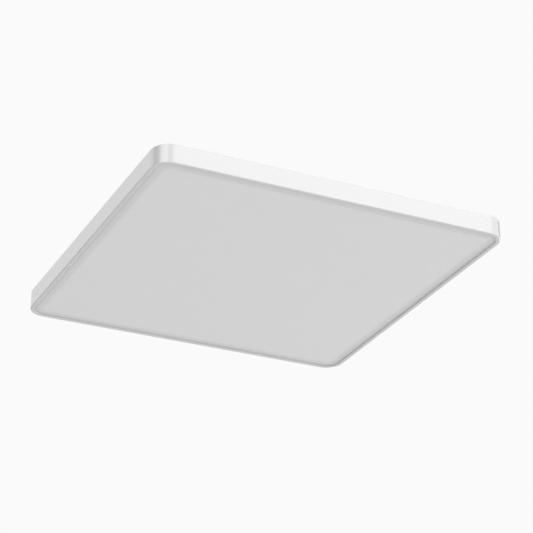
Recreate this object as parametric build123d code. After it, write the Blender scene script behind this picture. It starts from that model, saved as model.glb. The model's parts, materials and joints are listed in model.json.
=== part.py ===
from build123d import *
import math
import os

# A slim square LED ceiling light, in millimetres.
# The ceiling is the plane z = 0, the origin is the middle of the light there, and the light hangs below it.

# Overall size
LAMP_WIDTH = 420.0
LAMP_HEIGHT = 23.0
CORNER_RADIUS = 22.0
CEILING_GAP = 0.5

# Frame: one bent section with an outer wall, a lip round the opening and two inner ribs
FRAME_WALL = 1.5
LIP_WIDTH = 5.0
LIP_THICKNESS = 1.5
LIP_OUTER_FILLET = 1.0
LIP_INNER_CHAMFER = 0.4
WALL_TOP_CHAMFER = 0.4
CATCH_RIB_REACH = 1.5
CATCH_RIB_THICKNESS = 1.2
CLIP_RIB_REACH = 1.2
CLIP_RIB_THICKNESS = 1.0

# Diffuser panel and the sprung clips that hold it down on the lip
DIFFUSER_THICKNESS = 2.0
DIFFUSER_EDGE_CLEARANCE = 0.3
CLIP_HEIGHT = 3.0
CLIP_LENGTH = 14.0
CLIP_THICKNESS = 0.5
CLIP_WALL_GAP = 0.2
CLIP_TIP_MARGIN = 0.3
CLIP_SPREAD = 220.0

# Chassis: steel sheet with four flanges bent down and two pressed ribs that stand on the ceiling
SHEET = 0.8
STANDOFF = 2.0
BEND_RADIUS = 0.8
BEND_LAND = 0.5
FLANGE_RELIEF = 1.5
RIM_CLEARANCE = 0.5
RIM_MARGIN = 0.5
PRESS_DRAFT = 35.0
RIB_LENGTH = 260.0
RIB_WIDTH = 24.0
SLOT_SPACING_X = 200.0
SLOT_SPACING_Y = 140.0
SLOT_LENGTH = 16.0
SLOT_WIDTH = 5.2

# Spring catches on the flanges, which snap in above the frame's upper rib
CATCH_WIDTH = 18.0
CATCH_THICKNESS = 0.4
CATCH_REACH = 2.0
CATCH_TAIL = 1.3
CATCH_UPPER_RISE = 2.4
CATCH_LOWER_RISE = 2.6
CATCH_FOOT = 2.8
CATCH_TOP_GAP = 0.3
CATCH_SEAT_GAP = 0.3
WINDOW_MARGIN = 0.5

# Light-emitting boards, an even number of them with an even number of lights on each
BOARDS_PER_HALF = 3
LIGHTS_PER_HALF = 6
TAPE_THICKNESS = 0.2
BOARD_WIDTH = 12.0
BOARD_THICKNESS = 1.2
CHIP_SIZE = 3.0
CHIP_THICKNESS = 0.7

# Lens strip over each row of lights: two lobes with a dip between them
LENS_WIDTH = 11.0
LENS_SIDE_HEIGHT = 1.5
LENS_LOBE_OFFSET = 2.4
LENS_HEIGHT = 4.7
LENS_DIP_HEIGHT = 3.9
LENS_CHIP_CLEARANCE = 0.2
LENS_END_MARGIN = 4.5

# Connectors that take the two through-going leads from board to board
CONNECTOR_GAP = 1.0
CONNECTOR_LENGTH = 6.0
CONNECTOR_DEPTH = 8.0
CONNECTOR_HEIGHT = 2.8
LINK_LEAD_RADIUS = 0.8
LINK_LEAD_SPACING = 2.6
LINK_LEAD_CLEARANCE = 0.1
LINK_LEAD_TAIL = 6.0

# Supply entry in the middle of the floor
CABLE_RADIUS = 4.5
GROMMET_NECK_RADIUS = 6.5
GROMMET_NECK_CLEARANCE = 0.1
GROMMET_RIM_RADIUS = 9.0
GROMMET_RIM_THICKNESS = 1.4
SUPPLY_ROOM = 22.0

# Terminal block with three push-in poles, each with a release button
TERMINAL_LENGTH = 20.0
TERMINAL_WALL = 2.0
POLE_PITCH = 8.0
POLE_WIDTH = 6.4
POLE_FLOOR = 3.0
WIRE_WAY = 3.4
WIRE_FUNNEL = 5.2
BUTTON_LENGTH = 5.0
BUTTON_WIDTH = 4.4
BUTTON_PROUD = 2.0
BUTTON_TRAVEL = 1.5
BUTTON_CLEARANCE = 0.2
BUTTON_COLLAR = 0.7
BUTTON_COLLAR_HEIGHT = 1.2
BUTTON_COLLAR_GAP = 0.1
BUTTON_EDGE_CHAMFER = 0.5
CONTACT_THICKNESS = 0.5
CONTACT_WIDTH = 4.0
CONTACT_LEAF_REACH = 5.0
CONTACT_GAP = 0.2
SNAP_FOOT_LENGTH = 4.0
SNAP_FOOT_THICKNESS = 1.5
SNAP_FOOT_HOOK = 0.7
SNAP_FOOT_CLEARANCE = 0.2
SNAP_FOOT_HEIGHT = 1.0

# Driver: base plate, circuit board with its parts, and a cover
LIGHT_GAP = 6.3
WIRE_ROOM = 17.0
DRIVER_LENGTH = 95.0
DRIVER_WIDTH = 38.0
DRIVER_BASE_THICKNESS = 1.0
DRIVER_COVER_WALL = 1.0
DRIVER_COVER_CHAMFER = 0.7
DRIVER_FIT = 0.2
DRIVER_BASE_RIM = 0.8
DRIVER_BASE_RIM_HEIGHT = 0.6
DRIVER_PAD_SIZE = 3.6
DRIVER_PAD_HEIGHT = 1.4
DRIVER_BOARD_THICKNESS = 1.2
DRIVER_PART_CLEARANCE = 0.4
DRIVER_EAR_LENGTH = 9.0
DRIVER_EAR_REACH = 7.5
TRANSFORMER_LENGTH = 17.0
TRANSFORMER_WIDTH = 14.0
TRANSFORMER_CORE_LENGTH = 12.0
TRANSFORMER_CORE_WIDTH = 18.0
CAPACITOR_LENGTH = 14.0
CAPACITOR_GAP = 2.0
CAPACITOR_SETBACK = 12.0
CHOKE_RADIUS = 4.5
CHOKE_WINDING_RADIUS = 3.9
CHOKE_FLANGE = 1.0
CHOKE_SETBACK = 12.0
VENT_COUNT = 5
VENT_PITCH = 6.0
VENT_LENGTH = 14.0
VENT_WIDTH = 2.0
SUPPLY_LEAD_RADIUS = 1.1
OUTPUT_LEAD_RADIUS = 0.8
LEAD_NOTCH_CLEARANCE = 0.3

# Earth connection between the terminal block and the driver
EARTH_LEAD_LENGTH = 2.0
EARTH_TAG_RADIUS = 3.6
EARTH_TAG_THICKNESS = 0.8
EARTH_BARREL_LENGTH = 5.0
EARTH_BARREL_WALL = 0.6

# Screws that hold the driver and the earth tag to the floor
SCREW_RADIUS = 1.5
SCREW_LENGTH = 3.0
SCREW_HOLE_CLEARANCE = 0.1
SCREW_HEAD_RADIUS = 2.8
SCREW_HEAD_HEIGHT = 1.8

# Levels, from the ceiling down
half_width = LAMP_WIDTH / 2
corner_start = half_width - CORNER_RADIUS
floor_top = -STANDOFF
floor_bottom = floor_top - SHEET
lip_bottom = -LAMP_HEIGHT
diffuser_bottom = lip_bottom + LIP_THICKNESS
diffuser_top = diffuser_bottom + DIFFUSER_THICKNESS
service_bottom = diffuser_top + LIGHT_GAP
clip_rib_bottom = diffuser_top + CLIP_HEIGHT

# Distances from the middle to the faces of the four sides
wall_inner = half_width - FRAME_WALL
catch_rib_inner = wall_inner - CATCH_RIB_REACH
diffuser_edge = catch_rib_inner - DIFFUSER_EDGE_CLEARANCE
rim_outer = catch_rib_inner - RIM_CLEARANCE
rim_inner = rim_outer - SHEET
bend_start = rim_inner - BEND_RADIUS - BEND_LAND

# Heights of the spring catches, and of the frame's rib under their lower slope
catch_top = floor_bottom - BEND_RADIUS - CATCH_TOP_GAP
catch_shoulder = catch_top - CATCH_TAIL
catch_tip = catch_shoulder - CATCH_UPPER_RISE
catch_root = catch_tip - CATCH_LOWER_RISE
catch_bottom = catch_root - CATCH_FOOT
rim_bottom = catch_bottom - RIM_MARGIN
slope_length = math.hypot(CATCH_REACH, CATCH_LOWER_RISE)
slope_setback = CATCH_SEAT_GAP * slope_length / CATCH_LOWER_RISE
slope_share = (catch_rib_inner - slope_setback - rim_inner) / CATCH_REACH
catch_rib_top = catch_root + slope_share * CATCH_LOWER_RISE

# Boards, spread evenly over the floor, with their connectors at the -X end
board_count = 2 * BOARDS_PER_HALF
light_count = 2 * LIGHTS_PER_HALF
board_pitch = 2 * rim_inner / board_count
light_pitch = 2 * rim_inner / light_count
board_lines = [board_pitch * (i - (board_count - 1) / 2) for i in range(board_count)]
light_places = [light_pitch * (i - (light_count - 1) / 2) for i in range(light_count)]
lens_half_length = light_places[-1] + CHIP_SIZE / 2 + LENS_END_MARGIN
connector_middle = -lens_half_length - CONNECTOR_GAP - CONNECTOR_LENGTH / 2
board_half_length = lens_half_length + CONNECTOR_GAP + CONNECTOR_LENGTH + CONNECTOR_GAP
board_top = floor_bottom - TAPE_THICKNESS
board_face = board_top - BOARD_THICKNESS
connector_face = board_face - CONNECTOR_HEIGHT
link_level = (board_face + connector_face) / 2

# Pieces along the middle lane, from the supply entry towards -X
terminal_near = -GROMMET_RIM_RADIUS - SUPPLY_ROOM
terminal_far = terminal_near - TERMINAL_LENGTH
terminal_middle = (terminal_near + terminal_far) / 2
terminal_bottom = service_bottom + BUTTON_PROUD
terminal_half_width = POLE_PITCH + POLE_WIDTH / 2 + TERMINAL_WALL
driver_near = terminal_far - WIRE_ROOM
driver_far = driver_near - DRIVER_LENGTH
driver_middle = (driver_near + driver_far) / 2
pole_lines = {"neutral": -POLE_PITCH, "live": 0.0, "earth": POLE_PITCH}

# Driver levels and the level of the supply and output leads
driver_base_face = floor_bottom - DRIVER_BASE_THICKNESS
driver_board_top = driver_base_face - DRIVER_PAD_HEIGHT
driver_board_face = driver_board_top - DRIVER_BOARD_THICKNESS
driver_roof = service_bottom + DRIVER_COVER_WALL
driver_part_height = driver_board_face - driver_roof - DRIVER_PART_CLEARANCE
driver_part_level = driver_board_face - driver_part_height / 2
lead_level = (driver_board_top + driver_board_face) / 2
driver_rim_half_length = DRIVER_LENGTH / 2 - DRIVER_COVER_WALL - DRIVER_FIT
driver_rim_half_width = DRIVER_WIDTH / 2 - DRIVER_COVER_WALL - DRIVER_FIT
driver_board_half_length = driver_rim_half_length - DRIVER_BASE_RIM - DRIVER_FIT
driver_board_half_width = driver_rim_half_width - DRIVER_BASE_RIM - DRIVER_FIT
link_offsets = {"positive": LINK_LEAD_SPACING / 2, "negative": -LINK_LEAD_SPACING / 2}

# Inside of the terminal block's poles
pole_bottom = terminal_bottom + POLE_FLOOR
contact_leg = terminal_far + TERMINAL_WALL
button_middle = terminal_near - TERMINAL_WALL - BUTTON_COLLAR - BUTTON_CLEARANCE - BUTTON_LENGTH / 2

# Earth tag, in line with the earth pole
earth_barrel_near = terminal_far - EARTH_LEAD_LENGTH
earth_barrel_far = earth_barrel_near - EARTH_BARREL_LENGTH
earth_barrel_half = SUPPLY_LEAD_RADIUS + EARTH_BARREL_WALL
earth_middle = earth_barrel_far - EARTH_TAG_RADIUS
earth_face = floor_bottom - EARTH_TAG_THICKNESS

# Places of the screws: (x, y, level of the face under the head)
driver_ear_offset = (DRIVER_WIDTH + DRIVER_EAR_REACH) / 2
driver_screws = [
    (driver_near - DRIVER_EAR_LENGTH, -driver_ear_offset, driver_base_face),
    (driver_far + DRIVER_EAR_LENGTH, driver_ear_offset, driver_base_face),
]
earth_screw = (earth_middle, pole_lines["earth"], earth_face)

SIDES = {"right": 0, "rear": 90, "left": 180, "front": 270}


# General forms
def block(x_limits, y_limits, z_limits):
    """Box between two limits in each direction."""
    size = [abs(limits[1] - limits[0]) for limits in (x_limits, y_limits, z_limits)]
    middle = [(limits[0] + limits[1]) / 2 for limits in (x_limits, y_limits, z_limits)]
    return Pos(*middle) * Box(*size)


def about(middle, half):
    """The two limits that lie evenly about a middle."""
    return (middle - half, middle + half)


def area(x_limits, y_limits):
    """Flat rectangle between two limits in each direction."""
    width = abs(x_limits[1] - x_limits[0])
    height = abs(y_limits[1] - y_limits[0])
    return Pos(sum(x_limits) / 2, sum(y_limits) / 2) * Rectangle(width, height)


def nearest_corner(section, x, y):
    """Corner of a flat section that lies nearest to a point."""
    return section.vertices().sort_by_distance((x, y, 0))[0]


def rounded_slab(half_size, bottom, top):
    """Square prism whose corners share their centres with the frame's outer corners."""
    radius = CORNER_RADIUS - (half_width - half_size)
    outline = RectangleRounded(2 * half_size, 2 * half_size, radius)
    return Pos(0, 0, bottom) * extrude(outline, top - bottom)


def upright(radius, bottom, top, x=0.0, y=0.0):
    """Cylinder along Z between two levels."""
    return Pos(x, y, (bottom + top) / 2) * Cylinder(radius, top - bottom)


def rod_x(radius, x_limits, y, z):
    """Cylinder along X."""
    length = abs(x_limits[1] - x_limits[0])
    return Pos(sum(x_limits) / 2, y, z) * Rot(0, 90, 0) * Cylinder(radius, length)


def rod_y(radius, y_limits, x, z):
    """Cylinder along Y."""
    length = abs(y_limits[1] - y_limits[0])
    return Pos(x, sum(y_limits) / 2, z) * Rot(90, 0, 0) * Cylinder(radius, length)


def turned(points):
    """Solid turned about Z from an outline of (radius, height) points."""
    outline = make_face(Plane.XZ * Polyline(*points, close=True))
    return revolve(outline, Axis.Z)


def bent_strip(points, thickness, width, side):
    """Sheet strip bent along (x, z) points and as wide as stated along Y, thickened to one side of them."""
    profile = offset(Polyline(*points), amount=thickness, side=side, kind=Kind.INTERSECTION)
    return extrude(Plane.XZ * make_face(profile.edges()), amount=width / 2, both=True)


def group(solids):
    """Several separate solids of one kind."""
    return Compound(children=list(solids))


def screw_hole(place, bottom, top):
    """Round cutter for a screw, between two levels."""
    return upright(SCREW_RADIUS + SCREW_HOLE_CLEARANCE, bottom, top, place[0], place[1])


# Frame and diffuser
def frame():
    """Bent section swept round the rounded square, with its inner ribs."""
    wall = area((0, FRAME_WALL), (lip_bottom, -CEILING_GAP))
    lip = area((0, LIP_WIDTH), (lip_bottom, diffuser_bottom))
    catch_rib = area((0, half_width - catch_rib_inner), (catch_rib_top - CATCH_RIB_THICKNESS, catch_rib_top))
    clip_rib_tip = FRAME_WALL + CLIP_RIB_REACH
    clip_rib = area((0, clip_rib_tip), (clip_rib_bottom, clip_rib_bottom + CLIP_RIB_THICKNESS))
    section = wall + lip + catch_rib + clip_rib
    section = fillet(nearest_corner(section, 0, lip_bottom), LIP_OUTER_FILLET)
    section = chamfer(nearest_corner(section, LIP_WIDTH, lip_bottom), LIP_INNER_CHAMFER)
    section = chamfer(nearest_corner(section, 0, -CEILING_GAP), WALL_TOP_CHAMFER)
    path = RectangleRounded(LAMP_WIDTH, LAMP_WIDTH, CORNER_RADIUS).face().outer_wire()
    along = path % 0
    section_plane = Plane(origin=path @ 0, x_dir=Vector(0, 0, 1).cross(along), z_dir=along)
    return sweep(section_plane * section, path=path)


def diffuser():
    """Flat opal panel that lies on the lip, inside the ribs."""
    return rounded_slab(diffuser_edge, diffuser_bottom, diffuser_top)


def diffuser_clips():
    """Angle clips wedged between the lower rib and the diffuser, two on each side."""
    heel = wall_inner - CLIP_WALL_GAP
    tip = half_width - LIP_WIDTH + CLIP_TIP_MARGIN
    points = [(heel, clip_rib_bottom), (heel, diffuser_top), (tip, diffuser_top)]
    clip = bent_strip(points, CLIP_THICKNESS, CLIP_LENGTH, Side.RIGHT)
    return group(
        Rot(0, 0, turn) * Pos(0, side * CLIP_SPREAD / 2, 0) * clip
        for turn in SIDES.values()
        for side in (-1, 1)
    )


# Chassis and its spring catches
def pressed_form(length, width, height):
    """Slot-shaped form pressed up out of the floor: the solid to add and the hollow to cut."""
    draft = math.radians(PRESS_DRAFT)
    inset = SHEET * (1 - math.sin(draft)) / math.cos(draft)
    outer = extrude(SlotOverall(length, width), height, taper=PRESS_DRAFT)
    hollow = extrude(SlotOverall(length - 2 * inset, width - 2 * inset), height, taper=PRESS_DRAFT)
    return Pos(0, 0, floor_top) * outer, Pos(0, 0, floor_bottom) * hollow


def chassis_flange():
    """Flange on the +X side with its bend, and a window for the spring catch."""
    land = area((bend_start, rim_outer), (floor_bottom, floor_top))
    section = land + area((rim_inner, rim_outer), (rim_bottom, floor_top))
    section = fillet(nearest_corner(section, rim_outer, floor_top), BEND_RADIUS + SHEET)
    section = fillet(nearest_corner(section, rim_inner, floor_bottom), BEND_RADIUS)
    flange = extrude(Plane.XZ * section, amount=corner_start - FLANGE_RELIEF, both=True)
    window_limits = about(0, CATCH_WIDTH / 2 + WINDOW_MARGIN)
    window_levels = (catch_root - WINDOW_MARGIN, catch_shoulder + WINDOW_MARGIN)
    return flange - block((rim_inner, rim_outer), window_limits, window_levels)


def chassis():
    """Steel sheet with its flanges, pressed ribs, screw slots and holes."""
    sheet = rounded_slab(rim_outer, floor_bottom, floor_top)
    flange = chassis_flange()
    flange_room = block((bend_start, rim_outer), about(0, corner_start), (floor_bottom, floor_top))
    for turn in SIDES.values():
        sheet -= Rot(0, 0, turn) * flange_room
    for turn in SIDES.values():
        sheet += Rot(0, 0, turn) * flange
    rib, rib_hollow = pressed_form(RIB_LENGTH, RIB_WIDTH, STANDOFF)
    slot = Pos(0, 0, floor_bottom) * extrude(SlotOverall(SLOT_LENGTH, SLOT_WIDTH), STANDOFF + SHEET)
    for y in about(0, SLOT_SPACING_Y / 2):
        sheet = sheet + Pos(0, y, 0) * rib - Pos(0, y, 0) * rib_hollow
        for x in about(0, SLOT_SPACING_X / 2):
            sheet -= Pos(x, y, 0) * slot
    sheet -= upright(GROMMET_NECK_RADIUS + GROMMET_NECK_CLEARANCE, floor_bottom, floor_top)
    for place in driver_screws + [earth_screw]:
        sheet -= screw_hole(place, floor_bottom, floor_top)
    foot_outer = terminal_half_width + SNAP_FOOT_CLEARANCE
    foot_inner = terminal_half_width - SNAP_FOOT_THICKNESS - SNAP_FOOT_CLEARANCE
    foot_limits = about(terminal_middle, SNAP_FOOT_LENGTH / 2 + SNAP_FOOT_CLEARANCE)
    for side in (-1, 1):
        sheet -= block(foot_limits, (side * foot_inner, side * foot_outer), (floor_bottom, floor_top))
    return sheet


def spring_catch(turn):
    """Sprung strip inside a flange, whose bent middle stands out through the window."""
    points = [
        (rim_inner, catch_bottom),
        (rim_inner, catch_root),
        (rim_inner + CATCH_REACH, catch_tip),
        (rim_inner, catch_shoulder),
        (rim_inner, catch_top),
    ]
    return Rot(0, 0, turn) * bent_strip(points, CATCH_THICKNESS, CATCH_WIDTH, Side.LEFT)


# Light-emitting boards
def led_board(line):
    """Aluminium-core board, its face down."""
    return block(about(0, board_half_length), about(line, BOARD_WIDTH / 2), (board_face, board_top))


def board_tapes():
    """Thermal tape between each board and the floor."""
    return group(
        block(about(0, board_half_length), about(line, BOARD_WIDTH / 2), (board_top, floor_bottom))
        for line in board_lines
    )


def led_chips(line):
    """Light-emitting packages along one board."""
    level = board_face - CHIP_THICKNESS / 2
    return group(Pos(x, line, level) * Box(CHIP_SIZE, CHIP_SIZE, CHIP_THICKNESS) for x in light_places)


def led_lens(line):
    """Wide-beam lens strip along one board, with a groove over its lights."""
    half = LENS_WIDTH / 2
    lobe = ThreePointArc(
        (half, -LENS_SIDE_HEIGHT), (LENS_LOBE_OFFSET, -LENS_HEIGHT), (0, -LENS_DIP_HEIGHT)
    )
    other_lobe = mirror(lobe, Plane.YZ)
    foot = Polyline((half, -LENS_SIDE_HEIGHT), (half, 0), (-half, 0), (-half, -LENS_SIDE_HEIGHT))
    section = make_face(lobe.edges() + other_lobe.edges() + foot.edges())
    groove_half = CHIP_SIZE / 2 + LENS_CHIP_CLEARANCE
    section -= area(about(0, groove_half), (-CHIP_THICKNESS - LENS_CHIP_CLEARANCE, 0))
    strip = extrude(Plane.YZ * section, amount=lens_half_length, both=True)
    return Pos(0, line, board_face) * strip


# Connectors and the leads through them
def connector(line, seat):
    """Connector housing that stands on its seat, with two grooves for the through-going leads."""
    limits = about(connector_middle, CONNECTOR_LENGTH / 2)
    depth = about(line, CONNECTOR_DEPTH / 2)
    housing = block(limits, depth, (connector_face, seat))
    groove_half = LINK_LEAD_RADIUS + LINK_LEAD_CLEARANCE
    for shift in link_offsets.values():
        groove = about(connector_middle + shift, groove_half)
        housing -= block(groove, depth, (connector_face, link_level + groove_half))
    return housing


def link_lead(shift):
    """Lead that runs straight through every connector, from the first board to the last."""
    reach = board_lines[-1] + CONNECTOR_DEPTH / 2 + LINK_LEAD_TAIL
    return rod_y(LINK_LEAD_RADIUS, about(0, reach), connector_middle + shift, link_level)


# Supply entry
def cable_grommet():
    """Rubber bush in the floor, its two rims holding the sheet."""
    points = [
        (CABLE_RADIUS, floor_bottom - GROMMET_RIM_THICKNESS),
        (GROMMET_RIM_RADIUS, floor_bottom - GROMMET_RIM_THICKNESS),
        (GROMMET_RIM_RADIUS, floor_bottom),
        (GROMMET_NECK_RADIUS, floor_bottom),
        (GROMMET_NECK_RADIUS, floor_top),
        (GROMMET_RIM_RADIUS, floor_top),
        (GROMMET_RIM_RADIUS, floor_top + GROMMET_RIM_THICKNESS),
        (CABLE_RADIUS, floor_top + GROMMET_RIM_THICKNESS),
    ]
    return turned(points)


# Terminal block
def wire_funnel():
    """Square cutter for a wire entry, which narrows from the housing's face to the inside of its wall."""
    mouth = WIRE_FUNNEL / 2
    throat = WIRE_WAY / 2
    points = [(0, mouth), (0, -mouth), (-TERMINAL_WALL, -throat), (-TERMINAL_WALL, throat)]
    outline = make_face(Plane.XZ * Polyline(*points, close=True))
    wedge = extrude(outline, amount=mouth, both=True)
    return wedge & Rot(90, 0, 0) * wedge


def terminal_block():
    """Housing open towards the floor, with a chamber, a button throat and a wire funnel for each pole."""
    half = terminal_half_width
    housing = block((terminal_far, terminal_near), about(0, half), (terminal_bottom, floor_bottom))
    throat_x = about(button_middle, BUTTON_LENGTH / 2 + BUTTON_CLEARANCE)
    throat_half = BUTTON_WIDTH / 2 + BUTTON_CLEARANCE
    chamber_x = (contact_leg, terminal_near - TERMINAL_WALL)
    notch_half = SUPPLY_LEAD_RADIUS + LEAD_NOTCH_CLEARANCE
    funnel = wire_funnel()
    for line in pole_lines.values():
        housing -= block(chamber_x, about(line, POLE_WIDTH / 2), (pole_bottom, floor_bottom))
        housing -= block(throat_x, about(line, throat_half), (terminal_bottom, pole_bottom))
        notch_levels = (lead_level - notch_half, floor_bottom)
        housing -= block((terminal_far, contact_leg), about(line, notch_half), notch_levels)
        housing -= Pos(terminal_near, line, lead_level) * funnel
    foot_limits = about(terminal_middle, SNAP_FOOT_LENGTH / 2)
    foot_tip = floor_top + SNAP_FOOT_HEIGHT
    for side in (-1, 1):
        stem = (side * (half - SNAP_FOOT_THICKNESS), side * half)
        hook = (side * half, side * (half + SNAP_FOOT_HOOK))
        housing += block(foot_limits, stem, (floor_bottom, foot_tip))
        housing += block(foot_limits, hook, (floor_top, foot_tip))
    return housing


def terminal_button(line):
    """Release button: a stem in its throat, with a collar inside that keeps it in."""
    collar_bottom = pole_bottom + BUTTON_COLLAR_GAP
    collar_top = collar_bottom + BUTTON_COLLAR_HEIGHT
    stem_x = about(button_middle, BUTTON_LENGTH / 2)
    stem = block(stem_x, about(line, BUTTON_WIDTH / 2), (service_bottom, collar_bottom))
    stem = chamfer(stem.faces().sort_by(Axis.Z)[0].edges(), BUTTON_EDGE_CHAMFER)
    collar_x = about(button_middle, BUTTON_LENGTH / 2 + BUTTON_COLLAR)
    collar_y = about(line, POLE_WIDTH / 2 - BUTTON_CLEARANCE)
    return stem + block(collar_x, collar_y, (collar_bottom, collar_top))


def terminal_contacts():
    """Tinned contact of each pole: a leg at the lead, a bar under the floor and a sprung leaf."""
    button_top = pole_bottom + BUTTON_COLLAR_GAP + BUTTON_COLLAR_HEIGHT + BUTTON_TRAVEL
    bar = floor_bottom - CONTACT_GAP
    leaf_end = terminal_near - TERMINAL_WALL - CONTACT_GAP
    leaf_tip = (leaf_end, button_top + CONTACT_GAP + CONTACT_THICKNESS)
    leaf_root = (leaf_end - CONTACT_LEAF_REACH, bar)
    points = [(contact_leg, pole_bottom), (contact_leg, bar), leaf_root, leaf_tip]
    contact = bent_strip(points, CONTACT_THICKNESS, CONTACT_WIDTH, Side.RIGHT)
    return group(Pos(0, line, 0) * contact for line in pole_lines.values())


# Driver
def driver_base():
    """Base plate with a low rim that locates the cover, pads for the board and two screw ears."""
    half = DRIVER_WIDTH / 2
    plate = block((driver_far, driver_near), about(0, half), (driver_base_face, floor_bottom))
    rim_level = driver_base_face - DRIVER_BASE_RIM_HEIGHT
    rim = Box(2 * driver_rim_half_length, 2 * driver_rim_half_width, DRIVER_BASE_RIM_HEIGHT)
    rim_inside = Box(
        2 * (driver_rim_half_length - DRIVER_BASE_RIM),
        2 * (driver_rim_half_width - DRIVER_BASE_RIM),
        DRIVER_BASE_RIM_HEIGHT,
    )
    plate += Pos(driver_middle, 0, (rim_level + driver_base_face) / 2) * (rim - rim_inside)
    pad_half = DRIVER_PAD_SIZE / 2
    for x in about(driver_middle, driver_board_half_length - pad_half):
        for y in about(0, driver_board_half_width - pad_half):
            plate += block(about(x, pad_half), about(y, pad_half), (driver_board_top, driver_base_face))
    for x, y, _ in driver_screws:
        side = math.copysign(1, y)
        ear_y = (side * half, side * (half + DRIVER_EAR_REACH))
        plate += block(about(x, DRIVER_EAR_LENGTH / 2), ear_y, (driver_base_face, floor_bottom))
        plate -= screw_hole((x, y), driver_base_face, floor_bottom)
    return plate


def driver_board():
    """Circuit board on the pads."""
    size = (2 * driver_board_half_length, 2 * driver_board_half_width, DRIVER_BOARD_THICKNESS)
    return Pos(driver_middle, 0, lead_level) * Box(*size)


def driver_transformer():
    """Wound bobbin with a ferrite core across it."""
    core_height = driver_part_height
    bobbin_height = driver_part_height - DRIVER_PART_CLEARANCE
    core = Box(TRANSFORMER_CORE_LENGTH, TRANSFORMER_CORE_WIDTH, core_height)
    bobbin = Box(TRANSFORMER_LENGTH, TRANSFORMER_WIDTH, bobbin_height)
    bobbin = Pos(0, 0, (core_height - bobbin_height) / 2) * bobbin
    return Pos(driver_middle, 0, driver_part_level) * (core + bobbin)


def driver_capacitors():
    """Two electrolytic capacitors lying side by side at the supply end."""
    radius = driver_part_height / 2
    near = driver_near - CAPACITOR_SETBACK
    limits = (near - CAPACITOR_LENGTH, near)
    lines = about(0, radius + CAPACITOR_GAP / 2)
    return group(rod_x(radius, limits, line, driver_part_level) for line in lines)


def driver_choke():
    """Drum choke at the output end: a winding between two flanges of the core."""
    bottom = driver_board_face - driver_part_height
    points = [
        (0, bottom),
        (CHOKE_RADIUS, bottom),
        (CHOKE_RADIUS, bottom + CHOKE_FLANGE),
        (CHOKE_WINDING_RADIUS, bottom + CHOKE_FLANGE),
        (CHOKE_WINDING_RADIUS, driver_board_face - CHOKE_FLANGE),
        (CHOKE_RADIUS, driver_board_face - CHOKE_FLANGE),
        (CHOKE_RADIUS, driver_board_face),
        (0, driver_board_face),
    ]
    return Pos(driver_far + CHOKE_SETBACK, 0, 0) * turned(points)


def driver_cover():
    """Cover with bevelled edges, vent slots, and notches for the leads in its end walls."""
    half = DRIVER_WIDTH / 2
    shell = block((driver_far, driver_near), about(0, half), (service_bottom, driver_base_face))
    bevelled = shell.faces().sort_by(Axis.Z)[0].edges() + shell.edges().filter_by(Axis.Z)
    shell = chamfer(bevelled, DRIVER_COVER_CHAMFER)
    inner_x = (driver_far + DRIVER_COVER_WALL, driver_near - DRIVER_COVER_WALL)
    shell -= block(inner_x, about(0, half - DRIVER_COVER_WALL), (driver_roof, driver_base_face))
    for i in range(VENT_COUNT):
        x = driver_middle + VENT_PITCH * (i - (VENT_COUNT - 1) / 2)
        shell -= block(about(x, VENT_WIDTH / 2), about(0, VENT_LENGTH / 2), (service_bottom, driver_roof))
    supply_half = SUPPLY_LEAD_RADIUS + LEAD_NOTCH_CLEARANCE
    supply_levels = (lead_level - supply_half, driver_base_face)
    for name in ("live", "neutral"):
        shell -= block((inner_x[1], driver_near), about(pole_lines[name], supply_half), supply_levels)
    output_half = OUTPUT_LEAD_RADIUS + LEAD_NOTCH_CLEARANCE
    output_levels = (lead_level - output_half, driver_base_face)
    for line in link_offsets.values():
        shell -= block((driver_far, inner_x[0]), about(line, output_half), output_levels)
    return shell


# Leads
def supply_lead(name):
    """Straight lead from a terminal's contact to the edge of the driver's board."""
    board_edge = driver_middle + driver_board_half_length
    return rod_x(SUPPLY_LEAD_RADIUS, (board_edge, contact_leg), pole_lines[name], lead_level)


def output_lead(line):
    """Straight lead from the driver's board to the feed connector."""
    board_edge = driver_middle - driver_board_half_length
    limits = (connector_middle + CONNECTOR_LENGTH / 2, board_edge)
    return rod_x(OUTPUT_LEAD_RADIUS, limits, line, lead_level)


def earth_lead():
    """Straight lead from the earth contact to the barrel of the earth tag."""
    return rod_x(SUPPLY_LEAD_RADIUS, (earth_barrel_near, contact_leg), pole_lines["earth"], lead_level)


def earth_tag():
    """Ring tag under the earth screw, with a barrel for the lead."""
    line = pole_lines["earth"]
    levels = (earth_face, floor_bottom)
    tag = upright(EARTH_TAG_RADIUS, *levels, earth_middle, line)
    tag += block((earth_middle, earth_barrel_near), about(line, earth_barrel_half), levels)
    barrel_levels = (lead_level - earth_barrel_half, floor_bottom)
    tag += block((earth_barrel_far, earth_barrel_near), about(line, earth_barrel_half), barrel_levels)
    return tag - screw_hole(earth_screw, *levels)


# Screws
def fixing_screws():
    """Screws that go up through the floor, heads down: two in the driver's ears and one in the earth tag."""
    points = [
        (0, SCREW_LENGTH),
        (SCREW_RADIUS, SCREW_LENGTH),
        (SCREW_RADIUS, 0),
        (SCREW_HEAD_RADIUS, 0),
        (SCREW_HEAD_RADIUS, -SCREW_HEAD_HEIGHT),
        (0, -SCREW_HEAD_HEIGHT),
    ]
    screw = turned(points)
    return group(Pos(*place) * screw for place in driver_screws + [earth_screw])


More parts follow.
